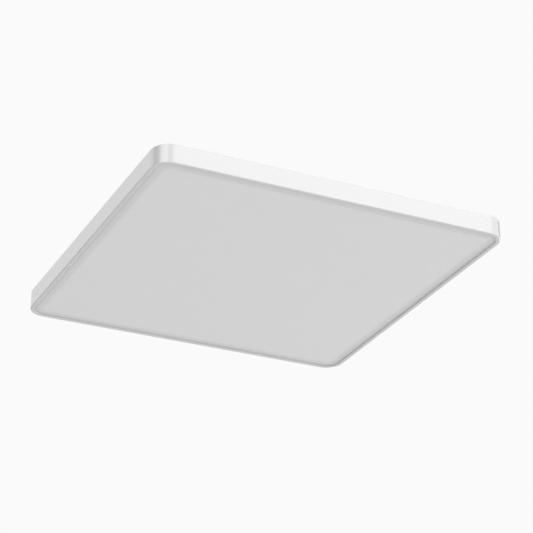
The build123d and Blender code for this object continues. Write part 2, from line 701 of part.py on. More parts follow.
# All pieces by name
pieces = {
    "frame": frame(),
    "diffuser": diffuser(),
    "diffuser_clips": diffuser_clips(),
    "chassis": chassis(),
    "board_tapes": board_tapes(),
    "board_connectors": group(connector(line, board_face) for line in board_lines),
    "feed_connector": connector(0, floor_bottom),
    "cable_grommet": cable_grommet(),
    "terminal_block": terminal_block(),
    "terminal_contacts": terminal_contacts(),
    "driver_base": driver_base(),
    "driver_board": driver_board(),
    "driver_transformer": driver_transformer(),
    "driver_capacitors": driver_capacitors(),
    "driver_choke": driver_choke(),
    "driver_cover": driver_cover(),
    "live_lead": supply_lead("live"),
    "neutral_lead": supply_lead("neutral"),
    "earth_lead": earth_lead(),
    "earth_tag": earth_tag(),
    "fixing_screws": fixing_screws(),
}
for side_name, side_turn in SIDES.items():
    pieces[f"spring_catch_{side_name}"] = spring_catch(side_turn)
for number, board_line in enumerate(board_lines, start=1):
    pieces[f"led_board_{number}"] = led_board(board_line)
    pieces[f"led_chips_{number}"] = led_chips(board_line)
    pieces[f"led_lens_{number}"] = led_lens(board_line)
for pole_name, pole_line in pole_lines.items():
    pieces[f"terminal_button_{pole_name}"] = terminal_button(pole_line)
for polarity, lead_shift in link_offsets.items():
    pieces[f"link_lead_{polarity}"] = link_lead(lead_shift)
    pieces[f"output_lead_{polarity}"] = output_lead(lead_shift)

os.makedirs("parts", exist_ok=True)
for piece_name, piece in pieces.items():
    export_step(piece, f"parts/{piece_name}.step")
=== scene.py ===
import json
import math

import bmesh
import bpy
from mathutils import Matrix, Vector


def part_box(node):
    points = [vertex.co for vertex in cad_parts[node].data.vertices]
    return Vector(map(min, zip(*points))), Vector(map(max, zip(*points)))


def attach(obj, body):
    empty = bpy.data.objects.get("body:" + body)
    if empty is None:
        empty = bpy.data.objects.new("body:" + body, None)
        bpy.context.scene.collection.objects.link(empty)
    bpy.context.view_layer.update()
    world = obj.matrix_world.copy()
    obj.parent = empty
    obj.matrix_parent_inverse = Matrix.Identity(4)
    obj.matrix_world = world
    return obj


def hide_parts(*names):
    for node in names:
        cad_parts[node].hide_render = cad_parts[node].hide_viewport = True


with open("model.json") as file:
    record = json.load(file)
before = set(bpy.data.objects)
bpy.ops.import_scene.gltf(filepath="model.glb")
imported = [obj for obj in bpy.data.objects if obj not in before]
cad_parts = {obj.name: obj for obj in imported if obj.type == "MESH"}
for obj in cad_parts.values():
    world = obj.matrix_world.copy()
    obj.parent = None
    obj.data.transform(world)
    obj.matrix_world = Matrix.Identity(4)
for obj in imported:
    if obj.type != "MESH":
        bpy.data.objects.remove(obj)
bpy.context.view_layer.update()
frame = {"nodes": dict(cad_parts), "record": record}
scene = bpy.context.scene
slots = {part["node"]: part["material_slot"] for part in frame["record"]["subparts"]}

# Sizes in metres. The ceiling is the plane z = 0 and the light hangs below it.
HALF_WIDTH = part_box("frame")[1].x
WALL_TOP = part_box("frame")[1].z
LIP_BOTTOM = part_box("frame")[0].z
LIP_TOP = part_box("diffuser")[0].z
DIFFUSER_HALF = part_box("diffuser")[1].x
DIFFUSER_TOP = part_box("diffuser")[1].z
CORNER_RADIUS = 0.022

# Steps and points along round shapes
ARC_STEPS = 6
LOBE_STEPS = 20
CORNER_STEPS = 24
TURN_STEPS = 6
CHIP_POINTS = 32
ROUND_POINTS = 48
GROMMET_POINTS = 64

# Frame section
FRAME_WALL = 0.0015
LIP_WIDTH = 0.005
LIP_OUTER_ROUND = 0.0013
LIP_INNER_ROUND = 0.0010
WALL_TOP_ROUND = 0.0004
RIB_ROUND = 0.0002
CATCH_RIB_REACH = 0.0015
CATCH_RIB_TOP = -0.0090
CATCH_RIB_THICKNESS = 0.0012
CLIP_RIB_REACH = 0.0012
CLIP_RIB_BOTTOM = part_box("diffuser_clips")[1].z
CLIP_RIB_THICKNESS = 0.0010
DIFFUSER_EDGE_ROUND = 0.0003

# Painted shade on the opal panel near the frame's lip, as pairs of a distance from the lip and the brightness
# there
PAINTED_EDGE_SHADES = [(0.0, 0.76), (0.0018, 0.77), (0.0038, 0.885), (0.0075, 0.90), (0.0122, 1.0)]

# Sprung strips, and the turns in degrees that take them to each side
SIDE_TURNS = {"right": 0, "rear": 90, "left": 180, "front": 270}
STRAIGHT_TURN = 1e-6
CATCH_THICKNESS = 0.0004
CATCH_TAIL = 0.0013
CATCH_LOWER_RISE = 0.0026
CATCH_FOOT = 0.0028
CATCH_BEND = 0.0004
CLIP_THICKNESS = 0.0005
CLIP_BEND = 0.0004
CLIP_LENGTH = 0.014
CLIP_SPREAD = 0.220
CLIP_TIP_MARGIN = 0.0003

# Lights and their lens strips
BOARD_COUNT = 6
LIGHT_COUNT = 12
CHIP_SIZE = 0.003
CHIP_EDGE = 0.00012
WINDOW_RADIUS = 0.00115
WINDOW_SLOPE = 0.0001
WINDOW_DEPTH = 0.00008
LENS_SIDE_HEIGHT = 0.0015
LENS_LOBE_OFFSET = 0.0024
LENS_DIP_HEIGHT = 0.0039
LENS_GROOVE_HALF = 0.0017
LENS_GROOVE_DEPTH = 0.0009
LENS_SEAT_GAP = 0.00004

# Grommet and screws
GROMMET_NECK_RADIUS = 0.0065
CABLE_RADIUS = 0.0045
GROMMET_ROUND = 0.0006
SHEET_TOP = -0.0020
SHEET_BOTTOM = -0.0028
SCREW_RADIUS = 0.0015
SCREW_HEAD_HEIGHT = 0.0018
SCREW_HEAD_ROUND = 0.0012
SCREW_RIM_ROUND = 0.0002
SCREW_TIP_HEIGHT = 0.0004
SCREW_TIP_RADIUS = 0.0009
THREAD_PITCH = 0.0006
THREAD_DEPTH = 0.0003
RECESS_REACH = 0.0014
RECESS_FLOOR_REACH = 0.0009
RECESS_DEPTH = 0.0009
CROSS_SLIMNESS = 0.24

# Parts on the driver's board
CHOKE_FLANGE = 0.001
CHOKE_WINDING_RADIUS = 0.0039
CHOKE_WIRE = 0.0005
CHOKE_WIRE_DEPTH = 0.00015
PART_EDGE = 0.0002
CAPACITOR_EDGE = 0.0005
CAPACITOR_CRIMP_AT = 0.0022
CAPACITOR_CRIMP_DEPTH = 0.0004
CAPACITOR_SEAL_SHARE = 0.78
CAPACITOR_LID_SHARE = 0.84
CAPACITOR_VENT_SHARE = 0.6
CAPACITOR_STEP = 0.00015
CAPACITOR_SEAL_BANDS = 2
CAPACITOR_LID_BANDS = 4
CORE_HALF_LENGTH = 0.006
CORE_PARTING = 0.0001
BOBBIN_HALF_WIDTH = 0.007
BOBBIN_DROP = 0.0004
BOBBIN_FLANGE = 0.0007
WINDING_INSET = 0.0005

# Joins and edges of the meshes, with the rounding of the nodes that stay
WELD_DISTANCE = 1e-6
SORT_DIGITS = 5
SHARP_ANGLE = math.radians(30)
BEVEL_ANGLE = math.radians(40)
BEVEL_SEGMENTS = 2
DEFAULT_EDGE = 0.0001
EDGE_ROUNDS = {
    "board_tapes": 0.00004,
    "driver_base": 0.00004,
    "terminal_block": 0.0003,
    "driver_cover": 0.0003,
    "board_connectors": 0.0002,
    "feed_connector": 0.0002,
}

# Noise in the materials, and the blur between the stripes of the earth lead
NOISE_LOW = 0.3
NOISE_HIGH = 0.7
NOISE_DETAIL = 2.0
BROAD_SCALE = 0.1
STRIPE_BLUR = 0.0001

# Stage
FLOOR_LEVEL = -2.5
FLOOR_HALF = 60.0
FLOOR_GLOW = 0.7
BACKGROUND = 0.956
AMBIENT = 0.665

# Camera, as the photo was taken
CAMERA_PLACE = Vector((-0.8169, -1.7341, -0.9432))
CAMERA_FORWARD = Vector((0.38802, 0.81093, 0.43798)).normalized()
CAMERA_ROLL = math.radians(-0.283)
IMAGE_WIDTH = 533
FOCAL_PIXELS = 1833
SENSOR_WIDTH = 36.0


# Shape helpers
def skin(shape, loops, wrap=False):
    """Bands of faces between matching loops of points, closed by caps or from last to first."""
    rings = [[shape.verts.new(point) for point in loop] for loop in loops]
    pairs = list(zip(rings, rings[1:]))
    if wrap:
        pairs.append((rings[-1], rings[0]))
    bands = []
    for near, far in pairs:
        band = []
        for index in range(len(near)):
            after = (index + 1) % len(near)
            band.append(shape.faces.new((near[index], near[after], far[after], far[index])))
        bands.append(band)
    if not wrap:
        bands.insert(0, [shape.faces.new(list(reversed(rings[0])))])
        bands.append([shape.faces.new(rings[-1])])
    return bands


def paint(bands, index):
    """Give the faces of some bands another of the piece's materials."""
    for band in bands:
        for face in band:
            face.material_index = index


def rounded_outline(corners):
    """Closed outline through (x, y, radius) corners, with an arc at each corner that has a radius."""
    outline = []
    for index, (x, y, radius) in enumerate(corners):
        here = Vector((x, y))
        if radius == 0:
            outline.append(here)
            continue
        before = (Vector(corners[index - 1][:2]) - here).normalized()
        after = (Vector(corners[(index + 1) % len(corners)][:2]) - here).normalized()
        half_angle = before.angle(after) / 2
        middle = -(before + after).normalized()
        centre = here - middle * radius / math.sin(half_angle)
        sweep = math.copysign(math.pi / 2 - half_angle, before.cross(after))
        for step in range(ARC_STEPS + 1):
            turn = Matrix.Rotation(sweep * (1 - 2 * step / ARC_STEPS), 2)
            outline.append(centre + turn @ middle * radius)
    return outline


def arc_through(start, middle, end, steps):
    """Points of an arc from start to end through a middle point, without its end."""
    start, middle, end = Vector(start), Vector(middle), Vector(end)
    across, along = middle - start, end - start
    twice_area = 2 * across.cross(along)
    lift = along.length_squared * across - across.length_squared * along
    centre = start + Vector((-lift.y, lift.x)) / twice_area
    spoke = start - centre
    sweep = spoke.angle_signed(end - centre)
    if sweep * spoke.angle_signed(middle - centre) < 0:
        sweep -= math.copysign(2 * math.pi, sweep)
    return [centre + Matrix.Rotation(-sweep * step / steps, 2) @ spoke for step in range(steps)]


def strip_outline(points, thickness, bend):
    """Outline of a sheet bent along points and thickened to their left, with round bends."""
    points = [Vector(point) for point in points]
    runs = [(after - before).normalized() for before, after in zip(points, points[1:])]
    near, far = [], []
    for index, point in enumerate(points):
        run_in = runs[max(index - 1, 0)]
        run_out = runs[min(index, len(runs) - 1)]
        turn = run_in.cross(run_out)
        left = Vector((-run_in.y - run_out.y, run_in.x + run_out.x)).normalized()
        reach = thickness / left.dot(Vector((-run_in.y, run_in.x)))
        near_bend = bend + thickness if turn > 0 else bend
        far_bend = bend if turn > 0 else bend + thickness
        straight = abs(turn) < STRAIGHT_TURN
        near.append((*point, 0 if straight else near_bend))
        far.append((*(point + left * reach), 0 if straight else far_bend))
    return rounded_outline(near + far[::-1])


def circle(radius, level, points):
    """Loop of points round the Z axis."""
    angles = [2 * math.pi * index / points for index in range(points)]
    return [Vector((radius * math.cos(angle), radius * math.sin(angle), level)) for angle in angles]


def square(half, level, points):
    """Loop of points round a square, spread by angle."""
    loop = []
    for point in circle(1, level, points):
        scale = half / max(abs(point.x), abs(point.y))
        loop.append(Vector((point.x * scale, point.y * scale, level)))
    return loop


def cross(reach, level, points):
    """Loop of points round a cross with four blunt arms."""
    loop = []
    for point in circle(1, level, points):
        along = max(abs(point.x), abs(point.y))
        aside = max(min(abs(point.x), abs(point.y)), CROSS_SLIMNESS * along)
        scale = reach * CROSS_SLIMNESS / aside
        loop.append(Vector((point.x * scale, point.y * scale, level)))
    return loop


def helix(radius, depth, pitch, bottom, top, points):
    """Loops up a rod with a ridge that winds round it."""
    steps = round((top - bottom) / pitch * TURN_STEPS)
    loops = []
    for step in range(steps + 1):
        climb = (top - bottom) * step / steps
        loop = []
        for index, point in enumerate(circle(1, 0, points)):
            phase = (climb / pitch - index / points) % 1
            reach = radius - depth * abs(2 * phase - 1)
            loop.append(Vector((point.x * reach, point.y * reach, bottom + climb)))
        loops.append(loop)
    return loops


def bar(half_width, half_height, edge, stations):
    """Loops along X round a bar with rounded edges, at (place, inset) stations."""
    loops = []
    for place, inset in stations:
        y, z = half_width - inset, half_height - inset
        outline = rounded_outline([(-y, -z, edge), (y, -z, edge), (y, z, edge), (-y, z, edge)])
        loops.append([Vector((place, across, up)) for across, up in outline])
    return loops


def moved(loops, matrix):
    """Loops of points moved by a matrix."""
    return [[matrix @ point for point in loop] for loop in loops]


def ring_stations(half, radius, steps):
    """Points round a rounded square, each with the inward direction there."""
    stations = []
    for corner in range(4):
        start = corner * math.pi / 2
        centre = Matrix.Rotation(start, 3, "Z") @ Vector((half - radius, half - radius, 0))
        for step in range(steps + 1):
            angle = start + math.pi / 2 * step / steps
            outward = Vector((math.cos(angle), math.sin(angle), 0))
            stations.append((centre + outward * radius, -outward))
    return stations


def rounded_square(half, radius, level):
    """Loop of points round a rounded square at one level."""
    return [point + Vector((0, 0, level)) for point, _ in ring_stations(half, radius, CORNER_STEPS)]


def solid_boxes(name):
    """Low and high corners of each separate solid of a node, in order along X and Y."""
    shape = bmesh.new()
    shape.from_mesh(frame["nodes"][name].data)
    bmesh.ops.remove_doubles(shape, verts=shape.verts, dist=WELD_DISTANCE)
    boxes = []
    waiting = set(shape.verts)
    while waiting:
        found = [waiting.pop()]
        for vertex in found:
            for edge in vertex.link_edges:
                neighbour = edge.other_vert(vertex)
                if neighbour in waiting:
                    waiting.remove(neighbour)
                    found.append(neighbour)
        spans = list(zip(*[vertex.co for vertex in found]))
        boxes.append((Vector([min(span) for span in spans]), Vector([max(span) for span in spans])))
    shape.free()
    return sorted(boxes, key=lambda box: (round(box[0].x, SORT_DIGITS), box[0].y))


def add_piece(name, shape, body, node, *more_finishes):
    """Object made from a shape, riding on a body in place of a node, with that node's finish first."""
    bmesh.ops.recalc_face_normals(shape, faces=shape.faces)
    mesh = bpy.data.meshes.new(name)
    shape.to_mesh(mesh)
    shape.free()
    mesh.shade_smooth()
    mesh.set_sharp_from_angle(angle=SHARP_ANGLE)
    for finish in (slots[node], *more_finishes):
        mesh.materials.append(finishes[finish])
    piece = bpy.data.objects.new(name, mesh)
    scene.collection.objects.link(piece)
    smoothing = piece.modifiers.new("weighted_normals", "WEIGHTED_NORMAL")
    smoothing.keep_sharp = True
    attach(piece, body)
    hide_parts(node)


# Material helpers
def object_place(tree):
    """X, Y and Z of a point in the object's own metres."""
    place = tree.nodes.new("ShaderNodeTexCoord")
    split = tree.nodes.new("ShaderNodeSeparateXYZ")
    tree.links.new(place.outputs["Object"], split.inputs["Vector"])
    return split.outputs


def calculate(tree, operation, *values):
    """Result of one operation on numbers and on other results."""
    step = tree.nodes.new("ShaderNodeMath")
    step.operation = operation
    for socket, value in zip(step.inputs, values):
        if isinstance(value, float):
            socket.default_value = value
        else:
            tree.links.new(value, socket)
    return step.outputs["Value"]


def noise(tree, scale, stretch):
    """Noise in the object's own metres, stretched along its axes."""
    place = tree.nodes.new("ShaderNodeTexCoord")
    mapping = tree.nodes.new("ShaderNodeMapping")
    mapping.inputs["Scale"].default_value = stretch
    texture = tree.nodes.new("ShaderNodeTexNoise")
    texture.inputs["Scale"].default_value = scale
    texture.inputs["Detail"].default_value = NOISE_DETAIL
    tree.links.new(place.outputs["Object"], mapping.inputs["Vector"])
    tree.links.new(mapping.outputs["Vector"], texture.inputs["Vector"])
    return texture.outputs["Fac"]


def blend_colours(tree, share, first, second):
    """Colour between two, by a share."""
    mix = tree.nodes.new("ShaderNodeMix")
    mix.data_type = "RGBA"
    mix.inputs["A"].default_value = (*first, 1)
    mix.inputs["B"].default_value = (*second, 1)
    tree.links.new(share, mix.inputs["Factor"])
    return mix.outputs["Result"]


def remap(tree, value, low, high, start=NOISE_LOW, end=NOISE_HIGH):
    """Value that goes from low to high while another goes from start to end."""
    stretch = tree.nodes.new("ShaderNodeMapRange")
    stretch.inputs["From Min"].default_value = start
    stretch.inputs["From Max"].default_value = end
    stretch.inputs["To Min"].default_value = low
    stretch.inputs["To Max"].default_value = high
    tree.links.new(value, stretch.inputs["Value"])
    return stretch.outputs["Result"]


def shade_profile(tree, value, shades):
    """Grey shade that follows (value, shade) points, the first of them at nought."""
    reach = shades[-1][0]
    ramp = tree.nodes.new("ShaderNodeValToRGB")
    ramp.color_ramp.interpolation = "LINEAR"
    elements = ramp.color_ramp.elements
    for place, _ in shades[1:-1]:
        elements.new(place / reach)
    for element, (_, shade) in zip(elements, shades):
        element.color = (shade, shade, shade, 1)
    tree.links.new(remap(tree, value, 0, 1, 0, reach), ramp.inputs["Fac"])
    return ramp.outputs["Color"]


def bump(tree, height, depth):
    """Surface relief from a height, with its depth in metres."""
    relief = tree.nodes.new("ShaderNodeBump")
    relief.inputs["Distance"].default_value = depth
    relief.inputs["Strength"].default_value = 1
    tree.links.new(height, relief.inputs["Height"])
    return relief.outputs["Normal"]


def tinted(colour, share):
    """Colour made lighter or darker by a share."""
    return tuple(channel * (1 + share) for channel in colour)


def surface(name, colour, roughness, grain, depth, spread=0.02, rough_spread=0.04,
            stretch=(1, 1, 1), metallic=0.0):
    """Material whose colour, gloss and relief vary with a grain of the stated size."""
    material = bpy.data.materials.new(name)
    material.use_nodes = True
    tree = material.node_tree
    shader = tree.nodes["Principled BSDF"]
    shader.inputs["Metallic"].default_value = metallic
    fine = noise(tree, 1 / grain, stretch)
    broad = noise(tree, BROAD_SCALE / grain, stretch)
    share = remap(tree, broad, 0, 1)
    colour_range = blend_colours(tree, share, tinted(colour, -spread), tinted(colour, spread))
    tree.links.new(colour_range, shader.inputs["Base Color"])
    gloss = remap(tree, broad, roughness + rough_spread, roughness - rough_spread)
    tree.links.new(gloss, shader.inputs["Roughness"])
    tree.links.new(bump(tree, fine, depth), shader.inputs["Normal"])
    return material


# Materials
def powder_coat(name, colour, roughness, gloss=0.5):
    """White powder coat with a faint orange peel."""
    material = surface(name, colour, roughness, grain=0.0012, depth=0.000001, spread=0.003, rough_spread=0.01)
    material.node_tree.nodes["Principled BSDF"].inputs["Specular IOR Level"].default_value = gloss
    return material


def edge_distance(tree, half, radius):
    """Distance of a point from the edge of a rounded square about the origin."""
    axes = object_place(tree)
    asides = [calculate(tree, "ABSOLUTE", axes[axis]) for axis in "XY"]
    past = [calculate(tree, "SUBTRACT", aside, half - radius) for aside in asides]
    beyond = [calculate(tree, "MAXIMUM", value, 0.0) for value in past]
    squares = [calculate(tree, "MULTIPLY", value, value) for value in beyond]
    reach = calculate(tree, "SQRT", calculate(tree, "ADD", *squares))
    inside = calculate(tree, "MINIMUM", calculate(tree, "MAXIMUM", *past), 0.0)
    return calculate(tree, "SUBTRACT", radius, calculate(tree, "ADD", reach, inside))


def opal_panel():
    """Matt opal acrylic with a very fine texture, and painted shade that darkens it towards the frame."""
    material = surface("opal_panel", (0.90, 0.90, 0.90), 0.5, grain=0.0006, depth=0.000006, spread=0.005)
    tree = material.node_tree
    shader = tree.nodes["Principled BSDF"]
    # Painted shade: the panel's colour is multiplied darker near the lip, in place of the frame's shade on it
    distance = edge_distance(tree, HALF_WIDTH - LIP_WIDTH, CORNER_RADIUS - LIP_WIDTH)
    shade = shade_profile(tree, distance, PAINTED_EDGE_SHADES)
    painted_shade_mix = tree.nodes.new("ShaderNodeMix")
    painted_shade_mix.data_type = "RGBA"
    painted_shade_mix.blend_type = "MULTIPLY"
    painted_shade_mix.inputs["Factor"].default_value = 1
    tree.links.new(shader.inputs["Base Color"].links[0].from_socket, painted_shade_mix.inputs["A"])
    tree.links.new(shade, painted_shade_mix.inputs["B"])
    tree.links.new(painted_shade_mix.outputs["Result"], shader.inputs["Base Color"])
    return material


def plastic(name, colour, roughness=0.42):
    """Moulded plastic with a spark-eroded texture."""
    return surface(name, colour, roughness, grain=0.0004, depth=0.000005, spread=0.015)


def insulation(name, colour):
    """Smooth extruded insulation."""
    return surface(name, colour, 0.3, grain=0.002, depth=0.00001, spread=0.03, stretch=(0.1, 0.1, 1))


def striped_insulation(name, first, second, level):
    """Insulation with one colour below a level and another above it."""
    material = insulation(name, first)
    tree = material.node_tree
    share = remap(tree, object_place(tree)["Z"], 0, 1, level - STRIPE_BLUR, level + STRIPE_BLUR)
    stripes = blend_colours(tree, share, first, second)
    tree.links.new(stripes, tree.nodes["Principled BSDF"].inputs["Base Color"])
    return material


def metal(name, colour, roughness):
    """Bare or plated metal with a fine grain."""
    return surface(name, colour, roughness, grain=0.0006, depth=0.000002, spread=0.03, rough_spread=0.07,
                   metallic=1.0)


def rubber(name, colour):
    """Dull moulded rubber."""
    return surface(name, colour, 0.7, grain=0.0005, depth=0.00001, spread=0.1)


def clear_acrylic():
    """Clear acrylic with faint lines along the strip."""
    material = surface("clear_acrylic", (0.96, 0.97, 0.97), 0.06, grain=0.0008, depth=0.000002,
                       spread=0.005, rough_spread=0.03, stretch=(0.01, 1, 1))
    shader = material.node_tree.nodes["Principled BSDF"]
    shader.inputs["Transmission Weight"].default_value = 1
    shader.inputs["IOR"].default_value = 1.49
    return material


def make_finishes():
    """Materials by the record's slot names, and a few for parts of one piece."""
    earth_low, earth_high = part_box("earth_lead")
    earth_level = (earth_low.z + earth_high.z) / 2
    green = (0.10, 0.36, 0.08)
    yellow = (0.72, 0.66, 0.08)
    return {
        "frame_white": powder_coat("frame_coat", (0.74, 0.74, 0.74), 0.18, gloss=0.85),
        "diffuser_opal": opal_panel(),
        "chassis_white": powder_coat("chassis_coat", (0.78, 0.78, 0.77), 0.38),
        "spring_steel": metal("spring_steel", (0.62, 0.62, 0.63), 0.26),
        "tape_grey": rubber("tape_grey", (0.60, 0.60, 0.59)),
        "connector_white": plastic("connector_nylon", (0.80, 0.79, 0.74)),
        "lead_red": insulation("lead_red", (0.55, 0.04, 0.03)),
        "lead_black": insulation("lead_black", (0.03, 0.03, 0.03)),
        "lead_brown": insulation("lead_brown", (0.20, 0.09, 0.045)),
        "lead_blue": insulation("lead_blue", (0.05, 0.16, 0.46)),
        "lead_earth": striped_insulation("lead_earth", green, yellow, earth_level),
        "grommet_rubber": rubber("grommet_rubber", (0.045, 0.045, 0.045)),
        "screw_zinc": metal("screw_zinc", (0.66, 0.66, 0.64), 0.3),
        "terminal_white": plastic("terminal_nylon", (0.80, 0.80, 0.78)),
        "contact_copper": metal("contact_copper", (0.72, 0.50, 0.30), 0.3),
        "contact_tinned": metal("contact_tinned", (0.70, 0.69, 0.66), 0.35),
        "driver_grey": plastic("driver_grey", (0.55, 0.55, 0.55)),
        "driver_white": plastic("driver_white", (0.80, 0.80, 0.79)),
        "board_green": plastic("board_green", (0.06, 0.25, 0.11), 0.3),
        "board_white": plastic("board_mask", (0.82, 0.82, 0.80), 0.3),
        "ferrite_dark": plastic("ferrite_dark", (0.08, 0.08, 0.08), 0.6),
        "capacitor_sleeve": plastic("capacitor_sleeve", (0.05, 0.06, 0.11), 0.25),
        "chip_phosphor": plastic("chip_phosphor", (0.82, 0.66, 0.18), 0.4),
        "package_white": plastic("package_white", (0.82, 0.82, 0.80), 0.35),
        "lens_clear": clear_acrylic(),
        "button_brown": plastic("button_brown", (0.28, 0.14, 0.07)),
        "button_blue": plastic("button_blue", (0.09, 0.22, 0.50)),
        "button_green": plastic("button_green", (0.18, 0.45, 0.11)),
        "winding_copper": metal("winding_copper", (0.62, 0.33, 0.16), 0.28),
        "winding_tape": plastic("winding_tape", (0.76, 0.62, 0.12), 0.35),
        "can_aluminium": metal("can_aluminium", (0.72, 0.72, 0.73), 0.3),
        "seal_rubber": rubber("seal_rubber", (0.05, 0.05, 0.05)),
    }


# Pieces
def frame_shell():
    """Frame section swept round the rounded square, with its two inner ribs."""
    clip_rib_tip = FRAME_WALL + CLIP_RIB_REACH
    clip_rib_top = CLIP_RIB_BOTTOM + CLIP_RIB_THICKNESS
    catch_rib_tip = FRAME_WALL + CATCH_RIB_REACH
    catch_rib_bottom = CATCH_RIB_TOP - CATCH_RIB_THICKNESS
    section = rounded_outline([
        (0, WALL_TOP, WALL_TOP_ROUND),
        (0, LIP_BOTTOM, LIP_OUTER_ROUND),
        (LIP_WIDTH, LIP_BOTTOM, LIP_INNER_ROUND),
        (LIP_WIDTH, LIP_TOP, RIB_ROUND),
        (FRAME_WALL, LIP_TOP, 0),
        (FRAME_WALL, CLIP_RIB_BOTTOM, 0),
        (clip_rib_tip, CLIP_RIB_BOTTOM, RIB_ROUND),
        (clip_rib_tip, clip_rib_top, RIB_ROUND),
        (FRAME_WALL, clip_rib_top, 0),
        (FRAME_WALL, catch_rib_bottom, 0),
        (catch_rib_tip, catch_rib_bottom, RIB_ROUND),
        (catch_rib_tip, CATCH_RIB_TOP, RIB_ROUND),
        (FRAME_WALL, CATCH_RIB_TOP, 0),
        (FRAME_WALL, WALL_TOP, RIB_ROUND),
    ])
    loops = []
    for point, inward in ring_stations(HALF_WIDTH, CORNER_RADIUS, CORNER_STEPS):
        loops.append([point + inward * inset + Vector((0, 0, level)) for inset, level in section])
    shape = bmesh.new()
    skin(shape, loops, wrap=True)
    add_piece("frame_shell", shape, "cover", "frame")


def diffuser_panel():
    """Opal panel with rounded edges."""
    edge = DIFFUSER_EDGE_ROUND
    radius = CORNER_RADIUS - (HALF_WIDTH - DIFFUSER_HALF)
    shape = bmesh.new()
    skin(shape, [
        rounded_square(DIFFUSER_HALF - edge, radius - edge, LIP_TOP),
        rounded_square(DIFFUSER_HALF, radius, LIP_TOP + edge),
        rounded_square(DIFFUSER_HALF, radius, DIFFUSER_TOP - edge),
        rounded_square(DIFFUSER_HALF - edge, radius - edge, DIFFUSER_TOP),
    ])
    add_piece("diffuser_panel", shape, "cover", "diffuser")


def catch_strip(side, turn):
    """Sprung strip with round bends, on one side of the chassis."""
    low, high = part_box("spring_catch_right")
    heel = low.x + CATCH_THICKNESS
    outline = strip_outline([
        (heel, low.z),
        (heel, low.z + CATCH_FOOT),
        (high.x, low.z + CATCH_FOOT + CATCH_LOWER_RISE),
        (heel, high.z - CATCH_TAIL),
        (heel, high.z),
    ], CATCH_THICKNESS, CATCH_BEND)
    loops = [[Vector((x, y, z)) for x, z in outline] for y in (low.y, high.y)]
    shape = bmesh.new()
    skin(shape, moved(loops, Matrix.Rotation(math.radians(turn), 4, "Z")))
    node = f"spring_catch_{side}"
    add_piece(node + "_strip", shape, "chassis", node)


def clip_strips():
    """Angle clips with round bends, two on each side, between the frame's lower rib and the panel."""
    low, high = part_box("diffuser_clips")
    outline = strip_outline([
        (HALF_WIDTH - LIP_WIDTH + CLIP_TIP_MARGIN, low.z),
        (high.x, low.z),
        (high.x, high.z),
    ], CLIP_THICKNESS, CLIP_BEND)
    loops = [[Vector((x, y, z)) for x, z in outline] for y in (-CLIP_LENGTH / 2, CLIP_LENGTH / 2)]
    shape = bmesh.new()
    for turn in SIDE_TURNS.values():
        for shift in (-CLIP_SPREAD / 2, CLIP_SPREAD / 2):
            place = Matrix.Rotation(math.radians(turn), 4, "Z") @ Matrix.Translation((0, shift, 0))
            skin(shape, moved(loops, place))
    add_piece("clip_strips", shape, "cover", "diffuser_clips")


def lens_strip(number):
    """Two-lobed lens strip over one row of lights."""
    node = f"led_lens_{number}"
    low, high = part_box(node)
    middle = (low.y + high.y) / 2
    half = (high.y - low.y) / 2
    side = (half, -LENS_SIDE_HEIGHT)
    crown = (LENS_LOBE_OFFSET, low.z - high.z)
    dip = (0, -LENS_DIP_HEIGHT)
    lobe = arc_through(side, crown, dip, LOBE_STEPS)
    other_lobe = [(-y, z) for y, z in reversed(lobe)]
    groove = [
        (-half, -LENS_SEAT_GAP),
        (-LENS_GROOVE_HALF, -LENS_SEAT_GAP),
        (-LENS_GROOVE_HALF, -LENS_GROOVE_DEPTH),
        (LENS_GROOVE_HALF, -LENS_GROOVE_DEPTH),
        (LENS_GROOVE_HALF, -LENS_SEAT_GAP),
        (half, -LENS_SEAT_GAP),
    ]
    outline = [Vector(point) for point in (*lobe, dip, *other_lobe, *groove)]
    loops = [[Vector((x, middle + y, high.z + z)) for y, z in outline] for x in (low.x, high.x)]
    shape = bmesh.new()
    skin(shape, loops)
    add_piece(f"lens_strip_{number}", shape, "chassis", node)


def light_packages(number):
    """White packages along one board, each with a round window of phosphor."""
    node = f"led_chips_{number}"
    low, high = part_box(node)
    middle = (low.y + high.y) / 2
    pitch = (high.x - low.x - CHIP_SIZE) / (LIGHT_COUNT - 1)
    half = CHIP_SIZE / 2
    shape = bmesh.new()
    for index in range(LIGHT_COUNT):
        place = Matrix.Translation((low.x + half + index * pitch, middle, 0))
        bands = skin(shape, moved([
            square(half, high.z, CHIP_POINTS),
            square(half, low.z + CHIP_EDGE, CHIP_POINTS),
            square(half - CHIP_EDGE, low.z, CHIP_POINTS),
            circle(WINDOW_RADIUS, low.z, CHIP_POINTS),
            circle(WINDOW_RADIUS - WINDOW_SLOPE, low.z + WINDOW_DEPTH, CHIP_POINTS),
        ], place))
        paint(bands[:-1], 1)
    add_piece(f"light_packages_{number}", shape, "chassis", node, "package_white")


def grommet_ring():
    """Rubber bush with rounded rims."""
    low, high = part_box("cable_grommet")
    section = rounded_outline([
        (CABLE_RADIUS, low.z, GROMMET_ROUND),
        (high.x, low.z, GROMMET_ROUND),
        (high.x, SHEET_BOTTOM, RIB_ROUND),
        (GROMMET_NECK_RADIUS, SHEET_BOTTOM, 0),
        (GROMMET_NECK_RADIUS, SHEET_TOP, 0),
        (high.x, SHEET_TOP, RIB_ROUND),
        (high.x, high.z, GROMMET_ROUND),
        (CABLE_RADIUS, high.z, GROMMET_ROUND),
    ])
    loops = []
    for spoke in circle(1, 0, GROMMET_POINTS):
        loops.append([Vector((spoke.x * reach, spoke.y * reach, level)) for reach, level in section])
    shape = bmesh.new()
    skin(shape, loops, wrap=True)
    add_piece("grommet_ring", shape, "chassis", "cable_grommet")


